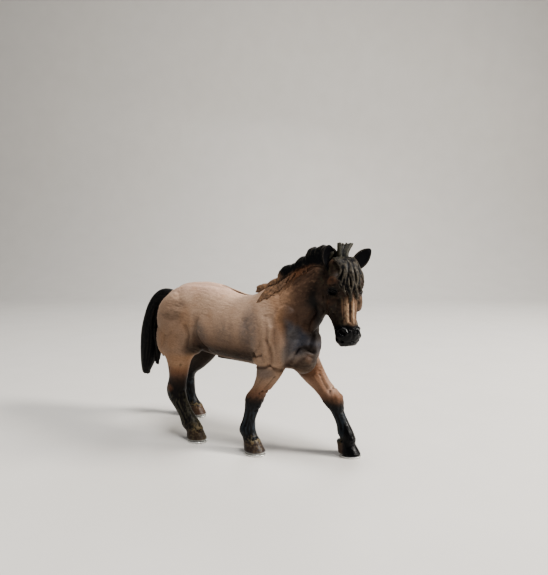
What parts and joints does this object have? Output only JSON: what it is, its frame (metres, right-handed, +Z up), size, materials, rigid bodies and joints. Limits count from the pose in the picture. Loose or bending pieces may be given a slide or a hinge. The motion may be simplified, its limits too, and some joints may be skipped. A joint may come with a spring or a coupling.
{
  "type": "figural animal coin bank",
  "caption": "Small walking horse figure with a hollow barrel: coins go in through a slot along the back and come out under a push-in belly stopper.",
  "frame": {"origin": "on the ground under the middle of the figure's bounding box", "axes": "+X the way the horse faces, +Y its left side, +Z up"},
  "size_m": [0.1494, 0.0418, 0.1052],
  "materials": {
    "coat": "hand-painted vinyl, beige coat with black legs and face",
    "hair": "black painted vinyl with fine grooves",
    "silver_paint": "silver painted vinyl",
    "soft_vinyl": "soft dark vinyl"
  },
  "bodies": {
    "horse": {"torso_right_half": "coat", "torso_left_half": "coat", "neck_and_head": "coat", "right_foreleg": "coat", "left_foreleg": "coat", "right_hind_leg": "coat", "left_hind_leg": "coat", "right_ear": "hair", "left_ear": "hair", "mane": "hair", "forelock": "hair", "tail": "hair", "right_fore_shoe": "silver_paint", "left_fore_shoe": "silver_paint", "right_hind_shoe": "silver_paint", "left_hind_shoe": "silver_paint"},
    "stopper": {"belly_stopper": "soft_vinyl"}
  },
  "joints": [
    {"name": "stopper_slide", "type": "slide", "parent": "horse", "child": "stopper", "axis": [0, 0, -1], "range_m": [0, 0.02]}
  ]
}
